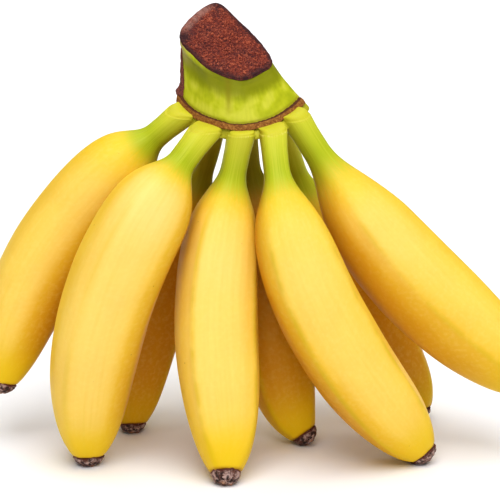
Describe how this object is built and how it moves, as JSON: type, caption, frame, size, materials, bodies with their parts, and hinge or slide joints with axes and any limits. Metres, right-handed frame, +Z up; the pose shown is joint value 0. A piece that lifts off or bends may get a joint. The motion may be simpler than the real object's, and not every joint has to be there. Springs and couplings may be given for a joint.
{
  "type": "banana hand",
  "caption": "Hand of small ripe yellow bananas in two rows on one cut green crown, standing on its blossom ends.",
  "frame": {"origin": "on the floor under the middle of the bounding box", "axes": "+Z up from the floor the finger tips stand on, -Y towards the front row of fingers, +X along the hand to the right seen from the front"},
  "size_m": [0.2069, 0.0864, 0.161],
  "materials": {
    "peel": "ripe yellow banana peel, waxy and half matt, green at the neck",
    "crown_flesh": "smooth yellow-green crown skin, half matt",
    "dried_cut": "dried fibrous cut, reddish brown, matt",
    "scar": "corky ochre-brown scar, matt",
    "blossom_end": "dry dark brown blossom end, matt"
  },
  "bodies": {
    "root": {"crown": "crown_flesh", "crown_cut": "dried_cut", "bract_scar": "scar", "finger_front_1": "peel", "finger_front_2": "peel", "finger_front_3": "peel", "finger_front_4": "peel", "finger_front_5": "peel", "finger_back_1": "peel", "finger_back_2": "peel", "finger_back_3": "peel", "blossom_end_front_1": "blossom_end", "blossom_end_front_2": "blossom_end", "blossom_end_front_3": "blossom_end", "blossom_end_front_4": "blossom_end", "blossom_end_front_5": "blossom_end", "blossom_end_back_1": "blossom_end", "blossom_end_back_2": "blossom_end", "blossom_end_back_3": "blossom_end"}
  },
  "joints": []
}
